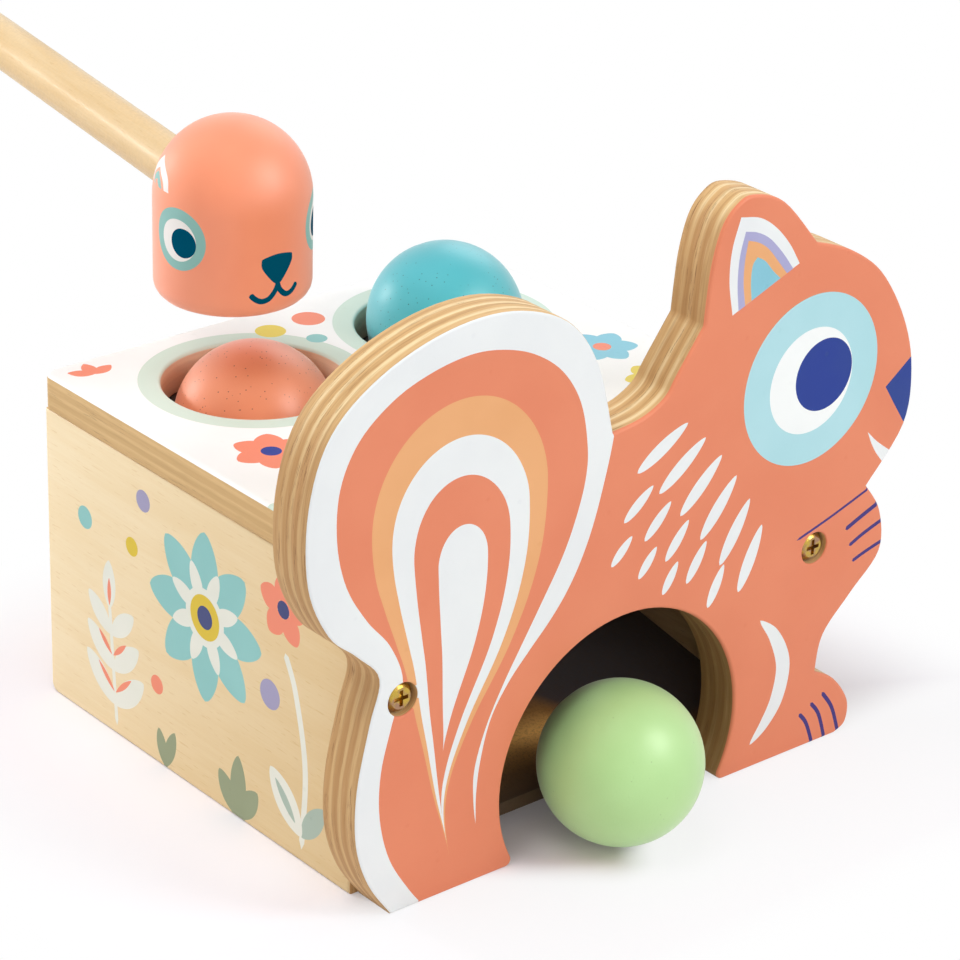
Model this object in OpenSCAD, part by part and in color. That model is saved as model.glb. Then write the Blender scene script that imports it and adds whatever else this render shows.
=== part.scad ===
// Ball pounding toy: a plywood box with a squirrel-shaped front, three balls and a hammer.
// Millimetres, +Z up, +Y from the front panel to the back of the box.

/* [Box] */
// Width of the box over its side panels
box_w = 162; // [160:1:190]
// Depth of the side panels, behind the front panel
box_d = 148; // [146:1:190]
// Height of the side panels and the back panel
side_h = 94; // [86:1:120]
// Thickness of the side panels
side_t = 9; // [8:0.5:10]
// Rounding of the side panels' lower back corner
side_corner_r = 3; // [1:0.5:12]
// Thickness of the back panel
back_t = 6; // [5:0.5:8]
// Thickness of the top board
top_t = 11.5; // [10:0.5:15]
// How far the top board stands over the sides and the back
top_lip = 0.5; // [0:0.5:3]
// Rounding of the top board's back corners
top_corner_r = 4; // [1:0.5:8]

/* [Front panel] */
// Thickness of the front panel
front_t = 15; // [12:0.5:20]
// Radius of the arch that the balls roll out of
arch_r = 44.4; // [36:0.2:48]
// Height of the arch's centre
arch_z = 22.8; // [16:0.2:30]
// How far the arch lies to the right of the box's middle
arch_shift = 4.7; // [-6:0.1:6]
// Rounding of the arch's two feet
arch_foot_r = 2; // [1:0.5:4]

/* [Balls and holes] */
// Diameter of a ball
ball_d = 48; // [45:0.5:50]
// Gap all round between a ball and the edge of its hole
hole_gap = 3.5; // [3:0.5:5.5]
// Share of the box's spare width that lies between the two back holes' rings
hole_spread = 0.48; // [0.3:0.01:0.7]
// Share of the box's spare width by which the holes lie to the right of its middle
hole_offset = 0.05; // [0:0.01:0.12]
// Distance from the back holes' rings to the back panel
back_ring_gap = 5; // [2.5:0.5:8]
// Distance from the front hole's ring to the front panel
front_ring_gap = 12.5; // [4:0.5:13]
// How far the ball at the arch has rolled on since it touched the ramp's front edge
green_out = 0.8; // [0.4:0.1:40]
// How far the rolled-out ball lies from the box's middle
green_shift = -0.1; // [-20:0.1:20]

/* [Grip rings] */
// Thickness of a rubber grip ring
ring_t = 3; // [2:0.5:4]
// How much smaller than the ball's radius a relaxed ring's opening is
ring_bite = 3.4; // [1.5:0.1:5]
// Width of the ring's rim that is clamped outside the hole
ring_rim = 2; // [1.5:0.5:3]
// Thickness of the board that clamps the rings
retainer_t = 6; // [5:0.5:8]

/* [Ramp] */
// Thickness of the ramp
ramp_t = 4; // [3:0.5:4.5]
// Height of the ramp's upper face at its front edge
ramp_front_z = 10.3; // [9.8:0.1:16]
// Slope of the ramp in degrees
ramp_angle = 10.2; // [6:0.1:14]
// Width of the cleats under the ramp
cleat_w = 10; // [6:0.5:16]
// Height of the cleats under the ramp
cleat_h = 5; // [3:0.1:5.4]

/* [Fasteners] */
// Height of the front screws
front_screw_z = 66.5; // [50:0.5:80]
// How far the front screws lie to the right of the side panels' middle
front_screw_shift = 1.2; // [-1.2:0.1:1.2]
// Shank diameter of a front screw
front_screw_d = 4; // [3:0.5:5]
// Length of a front screw under its head
front_screw_len = 36; // [28:1:44]
// Head diameter of a front screw
front_head_d = 8.6; // [7:0.1:9.4]
// Head height of a front screw
front_head_h = 2.8; // [2:0.1:4]
// Bevel round the top of a front screw's head
head_bevel = 1.1; // [0.4:0.1:1.8]
// Width of the cross slot in a front screw's head
slot_w = 1.2; // [0.8:0.1:1.6]
// Length of the cross slot in a front screw's head
slot_len = 4.8; // [3:0.1:5.2]
// Depth of the cross slot in a front screw's head
slot_depth = 1.7; // [0.8:0.1:1.8]
// How deep a front screw's head lies under the painted face
front_head_sink = 0.8; // [0.4:0.1:3]
// Diameter of the counterbore round a front screw's head
counterbore_d = 10; // [9.6:0.1:12]
// Shank diameter of a retainer screw
retainer_screw_d = 3; // [2.5:0.5:3.5]
// Length of a retainer screw
retainer_screw_len = 13; // [10:0.5:14]
// Head diameter of a retainer screw
retainer_head_d = 5.8; // [4.5:0.1:6.5]
// Distance of the retainer screws from the retainer's edges
retainer_inset = 7; // [5:0.5:10]
// Diameter of the wooden dowels
dowel_d = 6; // [4:0.5:6.5]
// Depth of a dowel in each of the two pieces that it joins
dowel_depth = 8; // [5:0.5:8.5]
// Height of the dowels between the front panel and the sides
front_dowel_z = 22; // [14:1:40]
// Distance of the top dowels from the ends of the side panels
top_dowel_inset = 25; // [16:1:40]
// Diameter of the pins in the back panel's edges
pin_d = 3; // [2:0.5:3.5]
// Depth of a back pin in the side panel
pin_side_depth = 6; // [3:0.5:7]
// Depth of a back pin in the back panel
pin_back_depth = 12; // [6:1:20]
// Height of the lower back pins
pin_low_z = 24; // [14:1:40]
// Height of the upper back pins
pin_high_z = 72; // [55:1:82]

/* [Hammer] */
// Diameter of the hammer's head
head_d = 46; // [38:0.5:54]
// Height of the hammer's head
head_h = 53.4; // [46:0.1:64]
// Rounding of the head's striking edge
head_edge_r = 5; // [1:0.5:8]
// Diameter of the handle
handle_d = 15; // [11:0.5:18]
// Distance from the head's axis to the end of the handle
handle_reach = 180; // [120:1:220]
// Depth of the handle past the head's axis
handle_past = 8; // [0:0.5:12]
// Height of the handle's axis over the striking face
handle_rise = 26.5; // [18:0.5:30]
// Rounding of the handle's free end
handle_end_r = 4; // [1:0.5:5]
// Turn of the handle from straight back, in degrees
handle_yaw = 8.7; // [0:0.1:30]
// Gap between the coral ball and the raised hammer
hammer_lift = 16.6; // [6:0.1:60]
// Sideways place of the head, from the axis of the coral ball
hammer_side = -5; // [-15:0.5:15]
// Depth place of the head, from the axis of the coral ball
hammer_back = 4; // [-15:0.5:15]

/* [Clearances] */
// Gap round a glued dowel, pin, screw or handle
glue_gap = 0.05; // [0.02:0.01:0.1]
// Gap between the boards inside the box and its walls
board_gap = 0.2; // [0.1:0.05:0.5]
// Gap between a ball and the rubber that holds it
ball_gap = 0.3; // [0.2:0.05:0.5]

/* [Hidden] */
$fn = 96;
over = 1;
ball_r = ball_d / 2;
hole_r = ball_r + hole_gap;
ring_out_r = hole_r + ring_rim;
ring_open_r = ball_r - ring_bite;
ring_tight_r = ball_r + ball_gap;
top_z = side_h + top_t;
inner_w = box_w - 2 * side_t;
inner_d = box_d - back_t;
side_mid = (box_w - side_t) / 2;
spare_w = inner_w - 4 * ring_out_r;
hole_pitch = 2 * ring_out_r + hole_spread * spare_w;
hole_shift = hole_offset * spare_w;
back_hole_y = inner_d - back_ring_gap - ring_out_r;
front_hole_y = front_ring_gap + ring_out_r;
left_hole = [hole_shift - hole_pitch / 2, back_hole_y];
right_hole = [hole_shift + hole_pitch / 2, back_hole_y];
front_hole = [hole_shift, front_hole_y];
holes = [left_hole, right_hole, front_hole];

// A ball that is pounded half-way has its equator in the ring; a fresh one rests on the ring's edge
coral_z = side_h - ring_t / 2;
turquoise_z = side_h + sqrt(pow(ball_r + ball_gap, 2) - pow(ring_open_r, 2));

ramp_slope = tan(ramp_angle);
ramp_drop = ramp_t / cos(ramp_angle);
green_y = -sqrt(pow(ball_r, 2) - pow(ball_r - ramp_front_z, 2)) - green_out;

hammer_at = [left_hole[0] + hammer_side, left_hole[1] + hammer_back, coral_z + ball_r + hammer_lift];
head_r = head_d / 2;
handle_r = handle_d / 2;

retainer_w = inner_w - 2 * board_gap;
retainer_d = inner_d - 2 * board_gap;
retainer_screws_at = [
  for (s = [-1, 1], y = [retainer_inset, retainer_d / 2, retainer_d - retainer_inset])
    [s * (retainer_w / 2 - retainer_inset), board_gap + y]
];

// Points of the outline, measured from the box's left face, middle or right face,
// and up from the floor or the top
function left_low(x, z) = [x - box_w / 2, z];
function left_high(x, z) = [x - box_w / 2, top_z + z];
function mid_high(x, z) = [x, top_z + z];
function right_low(x, z) = [x + box_w / 2, z];
function right_high(x, z) = [x + box_w / 2, top_z + z];

// A smooth curve through its points, ending at the last one
curve_steps = 6;
function bend(a, b, c, d, t) =
  b + (c - a) * t / 2 + (2 * a - 5 * b + 4 * c - d) * t * t / 2 + (3 * b - a - 3 * c + d) * t * t * t / 2;
function curve(p) = [
  for (i = [0 : len(p) - 2], k = [0 : curve_steps - 1])
    bend(p[max(i - 1, 0)], p[i], p[i + 1], p[min(i + 2, len(p) - 1)], k / curve_steps)
];

tail_root = mid_high(-3.5, 20);
nape = right_high(-52.4, 43.4);
ear_root = right_high(-10.5, 58.5);
chin = right_high(16.8, -24.5);
ankle = right_low(1, 24.2);
tail = [
  left_low(3, 0), left_low(-5, 12), left_low(-9.5, 26), left_low(-9.5, 43), left_low(-5.5, 62),
  left_low(-2.4, 75), left_high(-10, -21.5), left_high(-19.5, -12.5), left_high(-26.5, 4),
  left_high(-26.5, 26.5), left_high(-19.5, 45.5), left_high(-3.6, 58), left_high(18.3, 65.2),
  left_high(40, 65.4), left_high(59.4, 57.6), left_high(71, 42.5), tail_root
];
back = [
  tail_root, mid_high(4.5, 20.9), mid_high(10.5, 22.6), right_high(-65, 25.9), right_high(-61.5, 31), nape
];
ear = [
  nape, right_high(-51.7, 52), right_high(-50.5, 61.5), right_high(-47.6, 71), right_high(-43, 76.4),
  right_high(-36.5, 78.4), right_high(-24.3, 73.6), ear_root
];
face = [
  ear_root, right_high(3.2, 53), right_high(16.6, 43), right_high(27.2, 26.3), right_high(32.1, 9.4),
  right_high(30.5, -8.2), chin
];
chest = [
  chin, right_low(23.4, 71), right_low(24.4, 57.5), right_low(13.4, 46.5), right_low(3.3, 36), ankle
];
foot = [ankle, right_low(9.4, 19), right_low(15.8, 10), right_low(15.5, 2.5), right_low(11, 0)];
outline = [
  for (stretch = [tail, back, ear, face, chest, foot]) each curve(stretch),
  foot[len(foot) - 1]
];

// The origin is under the middle of the whole set's bounding box
xs = [for (p = outline) p[0]];
handle_end_y = hammer_at[1] + (handle_reach - handle_end_r) * cos(handle_yaw)
  + (handle_r - handle_end_r) * sin(handle_yaw) + handle_end_r;
front_y = min(-front_t, green_y - ball_r);
back_y = max(box_d + top_lip, handle_end_y);
origin = [(min(xs) + max(xs)) / 2, (front_y + back_y) / 2, 0];

module placed() {
  translate(-origin) children();
}

// A shape in the plane of X and Z, made thick towards the front
module upright(t) {
  rotate([90, 0, 0]) linear_extrude(t) children();
}

// A shape in the plane of Y and Z, made thick towards the right
module sideways(t) {
  rotate([90, 0, 90]) linear_extrude(t) children();
}

// What a square corner at the origin loses when it is rounded, with the board on its + + side
module corner_waste(r) {
  difference() {
    translate([-over, -over]) square(r + over);
    translate([r, r]) circle(r);
  }
}

// A pan-head cross screw, with the top of its head at the origin and its shank downwards
module cross_screw() {
  r = front_head_d / 2;
  shank_r = front_screw_d / 2;
  tip_z = -front_head_h - front_screw_len;
  difference() {
    rotate_extrude() polygon([
      [0, 0], [r - head_bevel, 0], [r, -head_bevel], [r, -front_head_h], [shank_r, -front_head_h],
      [shank_r, tip_z + front_screw_d], [0, tip_z]
    ]);
    for (turn = [0, 90]) {
      rotate(turn) translate([-slot_len / 2, -slot_w / 2, -slot_depth])
        cube([slot_len, slot_w, slot_depth + over]);
    }
  }
}

// Places on both sides of the box, at the middle of the side panels' thickness
module at_sides() {
  for (s = [-1, 1]) translate([s * side_mid, 0, 0]) children();
}

module front_screw_places() {
  at_sides() translate([front_screw_shift, -front_t + front_head_sink, front_screw_z])
    rotate([90, 0, 0]) children();
}

module front_dowel_places() {
  at_sides() translate([0, 0, front_dowel_z]) rotate([90, 0, 0]) children();
}

module top_dowel_places() {
  at_sides() for (y = [top_dowel_inset, box_d - top_dowel_inset]) translate([0, y, side_h]) children();
}

// Places of the back pins, with the side panel towards +Z
module back_pin_places() {
  for (s = [-1, 1], z = [pin_low_z, pin_high_z])
    translate([s * inner_w / 2, box_d - back_t / 2, z]) rotate([0, s * 90, 0]) children();
}

module dowel_hole() {
  depth = dowel_depth + glue_gap;
  translate([0, 0, -depth]) cylinder(d = dowel_d + 2 * glue_gap, h = 2 * depth);
}

module dowel() {
  translate([0, 0, -dowel_depth]) cylinder(d = dowel_d, h = 2 * dowel_depth);
}

// What rounds a foot of the arch, on side s, with the arch's centre at the origin
module arch_foot(s) {
  reach = arch_r + arch_foot_r;
  middle = [sqrt(pow(reach, 2) - pow(arch_z - arch_foot_r, 2)), arch_foot_r - arch_z];
  turn = atan2(-middle[1], -middle[0]) - 270;
  bow = [for (k = [0 : 7]) let (a = 270 + turn * k / 8) middle + arch_foot_r * [cos(a), sin(a)]];
  start = 2 * bow[0] - bow[1];
  points = [
    start, for (k = [1 : 7]) bow[k], middle * (arch_r - over / 10) / reach,
    middle * (arch_r - arch_foot_r) / reach, [middle[0] - 3 * arch_foot_r, -arch_z - over],
    [start[0], -arch_z - over]
  ];
  polygon([for (p = points) [s * p[0], p[1]]]);
}

module front_panel() color("#e5896c") placed() {
  difference() {
    upright(front_t) difference() {
      polygon(outline);
      translate([arch_shift, arch_z]) circle(arch_r);
      translate([arch_shift, arch_z]) for (s = [-1, 1]) arch_foot(s);
    }
    front_screw_places() {
      translate([0, 0, -front_head_h]) cylinder(d = counterbore_d, h = front_t);
      translate([0, 0, -front_t - over]) cylinder(d = front_screw_d + 2 * glue_gap, h = front_t + over);
    }
    front_dowel_places() dowel_hole();
  }
}

module side_holes() {
  front_screw_places() translate([0, 0, -front_head_h - front_screw_len - glue_gap])
    cylinder(d = front_screw_d + 2 * glue_gap, h = front_screw_len);
  front_dowel_places() dowel_hole();
  top_dowel_places() dowel_hole();
  back_pin_places() cylinder(d = pin_d + 2 * glue_gap, h = 2 * (pin_side_depth + glue_gap), center = true);
}

module side_panel(s) {
  difference() {
    translate([s * side_mid - side_t / 2, 0, 0]) sideways(side_t) difference() {
      square([box_d, side_h]);
      translate([box_d, 0]) mirror([1, 0]) corner_waste(side_corner_r);
    }
    side_holes();
  }
}

module left_side_panel() color("#ecd8ae") placed() side_panel(-1);

module right_side_panel() color("#ecd8ae") placed() side_panel(1);

module back_panel() color("#e6cfa2") placed() {
  difference() {
    translate([-inner_w / 2, inner_d, 0]) cube([inner_w, back_t, side_h]);
    back_pin_places()
      cylinder(d = pin_d + 2 * glue_gap, h = 2 * (pin_back_depth + glue_gap), center = true);
  }
}

module top_board() color("#f4f2ec") placed() {
  w = box_w + 2 * top_lip;
  d = box_d + top_lip;
  difference() {
    translate([0, 0, side_h]) linear_extrude(top_t) difference() {
      translate([-w / 2, 0]) square([w, d]);
      for (s = [0, 1]) mirror([s, 0]) translate([w / 2, d]) rotate(180) corner_waste(top_corner_r);
      for (h = holes) translate(h) circle(hole_r);
    }
    top_dowel_places() dowel_hole();
    for (p = retainer_screws_at) translate([p[0], p[1], side_h - retainer_t])
      cylinder(d = retainer_screw_d + 2 * glue_gap, h = retainer_screw_len + glue_gap);
  }
}

// Board under the top that clamps the rubber rings in round pockets
module ring_retainer() color("#d9bd8b") placed() {
  difference() {
    translate([-retainer_w / 2, board_gap, side_h - retainer_t]) cube([retainer_w, retainer_d, retainer_t]);
    for (h = holes) translate([h[0], h[1], side_h]) {
      translate([0, 0, -retainer_t - over]) cylinder(r = hole_r, h = retainer_t + 2 * over);
      translate([0, 0, -ring_t]) cylinder(r = ring_out_r + glue_gap, h = ring_t + over);
    }
    for (p = retainer_screws_at) translate([p[0], p[1], side_h - retainer_t]) {
      translate([0, 0, -over]) cylinder(d = retainer_screw_d + 2 * glue_gap, h = retainer_t + 2 * over);
      cylinder(
        d1 = retainer_head_d + 2 * glue_gap, d2 = retainer_screw_d + 2 * glue_gap,
        h = (retainer_head_d - retainer_screw_d) / 2
      );
    }
  }
}

module grip_ring(at, open_r) {
  translate([at[0], at[1], side_h - ring_t]) difference() {
    cylinder(r = ring_out_r, h = ring_t);
    translate([0, 0, -over]) cylinder(r = open_r, h = ring_t + 2 * over);
  }
}

module grip_ring_left() color("#4a4a4c") placed() grip_ring(left_hole, ring_tight_r);

module grip_ring_right() color("#4a4a4c") placed() grip_ring(right_hole, ring_open_r);

module grip_ring_front() color("#4a4a4c") placed() grip_ring(front_hole, ring_open_r);

// A board along the slope, from y0 to y1, with its upper face lying down below the ramp's upper face
module sloping(y0, y1, down, t) {
  z = ramp_front_z - down;
  polygon([
    [y0, z + y0 * ramp_slope], [y0, z - t + y0 * ramp_slope],
    [y1, z - t + y1 * ramp_slope], [y1, z + y1 * ramp_slope]
  ]);
}

module ramp_board() color("#b98a4c") placed() {
  w = inner_w - 2 * board_gap;
  translate([-w / 2, 0, 0]) sideways(w) sloping(0, inner_d - board_gap, 0, ramp_drop);
}

module ramp_cleat() {
  sideways(cleat_w) sloping(board_gap, inner_d - board_gap, ramp_drop, cleat_h);
}

module left_ramp_cleat() color("#d9bd8b") placed() translate([-inner_w / 2, 0, 0]) ramp_cleat();

module right_ramp_cleat() color("#d9bd8b") placed() translate([inner_w / 2 - cleat_w, 0, 0]) ramp_cleat();

module front_screws() color("#c9a94f") placed() {
  front_screw_places() cross_screw();
}

module front_dowels() color("#e0c794") placed() front_dowel_places() dowel();

module top_dowels() color("#e0c794") placed() top_dowel_places() dowel();

module back_pins() color("#e0c794") placed() {
  back_pin_places() translate([0, 0, -pin_back_depth])
    cylinder(d = pin_d, h = pin_back_depth + pin_side_depth);
}

// Countersunk screws, driven upwards through the retainer into the top board
module retainer_screws() color("#b9bcc0") placed() {
  for (p = retainer_screws_at) translate([p[0], p[1], side_h - retainer_t]) rotate_extrude() polygon([
    [0, 0], [retainer_head_d / 2, 0], [retainer_screw_d / 2, (retainer_head_d - retainer_screw_d) / 2],
    [retainer_screw_d / 2, retainer_screw_len - retainer_screw_d], [0, retainer_screw_len]
  ]);
}

module coral_ball() color("#ee9376") placed() translate([left_hole[0], left_hole[1], coral_z]) sphere(ball_r);

module turquoise_ball() color("#68c4cc") placed() {
  translate([right_hole[0], right_hole[1], turquoise_z]) sphere(ball_r);
}

module green_ball() color("#b2d796") placed() translate([green_shift, green_y, ball_r]) sphere(ball_r);

// The handle's frame: +Z runs along the handle, from the head's axis to the free end
module along_handle() {
  translate(hammer_at + [0, 0, handle_rise]) rotate([0, 0, -handle_yaw]) rotate([-90, 0, 0]) children();
}

module hammer_head() color("#f39876") placed() {
  difference() {
    translate(hammer_at) rotate_extrude() intersection() {
      square([head_r + over, head_h + over]);
      union() {
        translate([0, head_h - head_r]) circle(head_r);
        translate([-over, head_edge_r]) square([head_r + over, head_h - head_r - head_edge_r]);
        translate([-over, 0]) square([head_r - head_edge_r + over, head_h - head_r]);
        translate([head_r - head_edge_r, head_edge_r]) circle(head_edge_r);
      }
    }
    along_handle() translate([0, 0, -handle_past - glue_gap])
      cylinder(r = handle_r + glue_gap, h = head_d + handle_past);
  }
}

module hammer_handle() color("#f0dcae") placed() {
  along_handle() rotate_extrude() intersection() {
    translate([0, -handle_past]) square([handle_r + over, handle_past + handle_reach + over]);
    union() {
      translate([-over, -handle_past - over])
        square([handle_r + over, handle_past + handle_reach - handle_end_r + over]);
      translate([-over, 0]) square([handle_r - handle_end_r + over, handle_reach]);
      translate([handle_r - handle_end_r, handle_reach - handle_end_r]) circle(handle_end_r);
    }
  }
}

front_panel();
left_side_panel();
right_side_panel();
back_panel();
top_board();
ring_retainer();
grip_ring_left();
grip_ring_right();
grip_ring_front();
ramp_board();
left_ramp_cleat();
right_ramp_cleat();
front_screws();
front_dowels();
top_dowels();
back_pins();
retainer_screws();
coral_ball();
turquoise_ball();
green_ball();
hammer_head();
hammer_handle();
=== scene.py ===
import math

import bpy
import numpy as np
from mathutils import Matrix, Vector
from mathutils.geometry import delaunay_2d_cdt


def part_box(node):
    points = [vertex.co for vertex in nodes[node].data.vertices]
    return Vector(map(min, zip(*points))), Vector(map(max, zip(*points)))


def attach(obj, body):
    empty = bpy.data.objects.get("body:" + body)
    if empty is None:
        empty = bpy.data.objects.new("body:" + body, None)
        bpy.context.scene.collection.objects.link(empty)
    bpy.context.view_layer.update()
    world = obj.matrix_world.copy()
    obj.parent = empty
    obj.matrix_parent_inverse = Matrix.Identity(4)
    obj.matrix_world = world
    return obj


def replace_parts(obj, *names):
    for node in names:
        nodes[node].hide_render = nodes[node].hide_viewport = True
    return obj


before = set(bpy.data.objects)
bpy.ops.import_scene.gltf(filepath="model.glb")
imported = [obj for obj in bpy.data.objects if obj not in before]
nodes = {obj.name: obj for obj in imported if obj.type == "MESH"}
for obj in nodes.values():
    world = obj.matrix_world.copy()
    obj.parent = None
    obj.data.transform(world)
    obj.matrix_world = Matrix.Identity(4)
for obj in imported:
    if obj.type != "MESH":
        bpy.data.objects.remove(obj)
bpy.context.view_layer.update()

scene = bpy.context.scene
mm = 0.001
fullTurn = 2 * np.pi
quarterTurn = math.radians(90)
xAxis, yAxis, zAxis = np.eye(3)


def boxOf(node):
    # A node's lowest and highest corner in millimetres
    return [np.array(corner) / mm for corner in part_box(node)]


# Places that the pieces share, in millimetres
leftLow, leftHigh = boxOf("left_side_panel")
rightHigh = boxOf("right_side_panel")[1]
boxMid = (leftLow[0] + rightHigh[0]) / 2
boxFront, boxBack = leftLow[1], leftHigh[1]


# Curves and outlines are arrays of points in millimetres
def wayOf(angle):
    # A step of one at an angle in degrees
    return np.array([math.cos(math.radians(angle)), math.sin(math.radians(angle))])


def smoothPath(points, steps, closed=False):
    # Catmull-Rom curve: each stretch leaves and arrives along the line between its neighbours
    p = np.asarray(points, float)
    if closed:
        a, b, c, d = (np.roll(p, shift, 0) for shift in (1, 0, -1, -2))
    else:
        longer = np.concatenate([2 * p[:1] - p[1:2], p, 2 * p[-1:] - p[-2:-1]])
        a, b, c, d = longer[:-3], longer[1:-2], longer[2:-1], longer[3:]
    t = (np.arange(steps) / steps)[None, :, None]
    a, b, c, d = (x[:, None] for x in (a, b, c, d))
    square, cube = 2 * a - 5 * b + 4 * c - d, 3 * b - a - 3 * c + d
    path = (b + (c - a) * t / 2 + square * t ** 2 / 2 + cube * t ** 3 / 2).reshape(-1, 2)
    return path if closed else np.concatenate([path, p[-1:]])


def patch(steps, *parts):
    # An outline of smooth curves, given as lists, and corners, given as tuples, without doubled points
    path = np.concatenate([smoothPath(part, steps) if isinstance(part, list) else part for part in parts])
    return path[(path != np.roll(path, 1, 0)).any(1)]


def disc(x, y, r, count=72):
    # Circle: cosine and sine of a full turn
    turn = np.linspace(0, fullTurn, count, endpoint=False)
    return np.stack([x + r * np.cos(turn), y + r * np.sin(turn)], 1)


def ribbon(path, half, least=0.02):
    # A band of half-width half, or the least one, on each side of the path
    along = np.gradient(path, axis=0)
    along /= np.linalg.norm(along, axis=1)[:, None]
    side = np.stack([-along[:, 1], along[:, 0]], 1) * np.maximum(half, least)[:, None]
    return np.concatenate([path + side, (path - side)[::-1]])


def penStroke(points, width, ends, steps=10):
    # A line of even width with rounded ends: the half-width falls as a quarter ellipse over the last bit
    path = smoothPath(points, steps)
    t = np.linspace(-1, 1, len(path))
    near = np.clip((np.abs(t) - (1 - ends)) / ends, 0, 1)
    return ribbon(path, width / 2 * np.sqrt(1 - near ** 2))


def leaf(points, width, blunt=0.75, lean=1.0, steps=10):
    # A lens along a path: the half-width is a power of a sine of the way along, and lean moves its thick part
    path = smoothPath(points, steps)
    t = np.linspace(0, 1, len(path)) ** lean
    return ribbon(path, width / 2 * np.sin(np.pi * t) ** blunt)


def straightLeaf(x, y, angle, length, width, blunt=0.75, lean=1.0):
    # A leaf from a point outwards at an angle in degrees
    points = [np.array([x, y]) + wayOf(angle) * length * t for t in np.linspace(0, 1, 4)]
    return leaf(points, width, blunt, lean)


def leaves(width, blunt, *blades):
    # Straight leaves, each with its foot, angle and length
    return [straightLeaf(*blade, width, blunt) for blade in blades]


def penLines(ends, *lines):
    return [penStroke(points, width, ends) for width, points in lines]


def daisy(x, y, petals, inner, outer, width, start=0.0, blunt=0.6, lean=0.85):
    # Leaves all round a point, from an inner to an outer radius
    turns = [start + 360 * k / petals for k in range(petals)]
    return [straightLeaf(*((x, y) + inner * wayOf(a)), a, outer - inner, width, blunt, lean) for a in turns]


def sprig(x, y, tall, pairs, length, width, lean, stem=1.6, opening=48, blunt=0.65):
    # A stem with pairs of leaves, smaller further up, and one leaf at its tip
    top = np.array([x + lean, y + tall])
    parts = penLines(0.1, (stem, [(x, y), ((x + top[0]) / 2, y + tall / 2), tuple(top)]))
    for t in (np.arange(pairs) + 0.6) / (pairs + 0.5):
        spot = np.array([x + lean * t, y + tall * t])
        long, wide = length * (1 - 0.35 * t), width * (1 - 0.25 * t)
        parts += leaves(wide, blunt, *((*spot, 90 + side * opening, long) for side in (-1, 1)))
    return parts + leaves(width * 0.8, blunt, (top[0], top[1] - 2, 90, length * 0.75))


def drawn(table, start=(0, 0)):
    # Rows of a paint, a kind of outline and its measures, as painted outlines counted from a start
    shapes = []
    for paint, kind, *measures in table:
        made = kind(*measures)
        shapes += [(paint, outline + start) for outline in (made if isinstance(made, list) else [made])]
    return shapes


# Surfaces are arrays of points and of point numbers
def rimWalk(edges):
    # Chains directed edges into closed rims of point numbers
    following = dict(map(tuple, edges.tolist()))
    rims = []
    while following:
        first, point = following.popitem()
        rim = [first]
        while point != first:
            rim.append(point)
            point = following.pop(point)
        rims.append(np.array(rim))
    return rims


def openEdges(tris):
    # The triangles' directed edges that no neighbour shares, and the triangle each belongs to
    edges = np.concatenate([tris[:, [0, 1]], tris[:, [1, 2]], tris[:, [2, 0]]])
    count = edges.max() + 1
    alone = ~np.isin(edges[:, 0] * count + edges[:, 1], edges[:, 1] * count + edges[:, 0])
    return edges[alone], np.tile(np.arange(len(tris)), 3)[alone]


def nodeRims(node, across, up, out, within=0.002, decimals=3):
    # Outer rim, then hole rims, of a CAD node's flat face that looks along out, its level and the thickness
    mesh = nodes[node].data
    points = np.empty(3 * len(mesh.vertices))
    mesh.vertices.foreach_get("co", points)
    points = points.reshape(-1, 3) / mm
    tris = np.empty(len(mesh.loops), int)
    mesh.loops.foreach_get("vertex_index", tris)
    tris = tris.reshape(-1, 3)
    height = points @ out
    flat = tris[(height[tris] > height.max() - within).all(1)]
    places = np.round(points @ np.stack([across, up], 1), decimals)
    spots, same = np.unique(places, axis=0, return_inverse=True)
    rims = [spots[rim] for rim in rimWalk(openEdges(same.reshape(-1)[flat])[0])]
    return sorted(rims, key=lambda rim: -np.ptp(rim, 0).prod()), height.max(), np.ptp(height)


def signedArea(rim):
    x, y = rim.T
    return (x * np.roll(y, -1) - y * np.roll(x, -1)).sum() / 2


def outwards(rim, sharpest=0.7):
    # The step at each point that moves both its edges away from the wood by one, less at sharp corners
    step = np.roll(rim, -1, 0) - rim
    normal = np.stack([step[:, 1], -step[:, 0]], 1) / np.linalg.norm(step, axis=1)[:, None]
    both = normal + np.roll(normal, 1, 0)
    return both * 2 / np.maximum((both ** 2).sum(1), sharpest)[:, None]


def cutSheet(rims, shapes, extra=(), insideOnly=1, within=1e-5):
    # Triangles inside the first rim, outside the others, cut along the shapes; the last shape on a spot wins
    loops = [loop if signedArea(loop) > 0 else loop[::-1] for loop in [*rims, *shapes]]
    starts = np.cumsum([0] + [len(loop) for loop in loops])
    points = list(map(Vector, np.concatenate([*loops, *extra])))
    faces = [list(range(a, b)) for a, b in zip(starts, starts[1:])]
    spots, _, tris, origins, _, owners = delaunay_2d_cdt(points, [], faces, insideOnly, within, True)
    holes = set(range(1, len(rims)))
    owner = np.array([-1 if 0 not in own or holes & set(own) else max(own) for own in owners])
    tris, owner = np.array(tris)[owner >= 0], owner[owner >= 0]
    return np.array(spots), tris, np.maximum(owner - len(rims) + 1, 0), origins


def closedTris(points, tris, decimals=5):
    # Joins points at one place, as at a seam or a pole, and drops the triangles that vanish there
    _, first, same = np.unique(np.round(points, decimals), axis=0, return_index=True, return_inverse=True)
    tris = same.reshape(-1)[tris]
    kept = (tris[:, 0] != tris[:, 1]) & (tris[:, 1] != tris[:, 2]) & (tris[:, 2] != tris[:, 0])
    return points[first], tris[kept], kept


def addObject(name, data):
    thing = bpy.data.objects.new(name, data)
    scene.collection.objects.link(thing)
    return thing


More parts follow.
